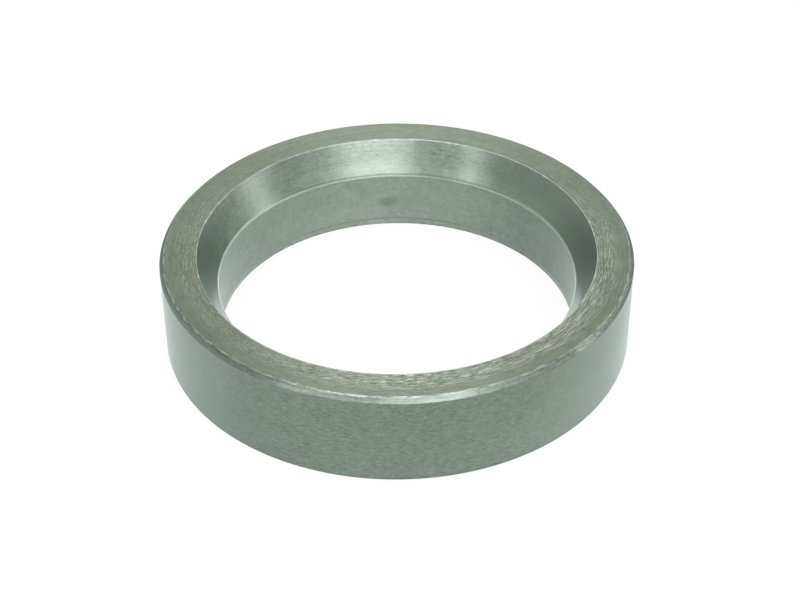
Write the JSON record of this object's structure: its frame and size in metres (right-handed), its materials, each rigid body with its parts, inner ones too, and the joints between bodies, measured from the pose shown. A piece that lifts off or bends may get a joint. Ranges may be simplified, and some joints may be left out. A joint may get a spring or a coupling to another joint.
{
  "type": "thrust ring",
  "caption": "Turned steel thrust ring: flat faces, plain bore with a lead-in, and a steep internal cone that clears the fillet of a shaft's shoulder.",
  "frame": {"origin": "on the ring's axis, in the plane of its lower flat face", "axes": "+Z along the axis of the ring, from the flat lower face towards the face with the internal cone"},
  "size_m": [0.12, 0.12, 0.025],
  "materials": {
    "steel": "turned and ground bare steel, fine marks round the axis, slightly greenish grey"
  },
  "bodies": {
    "root": {"thrust_ring": "steel"}
  },
  "joints": []
}
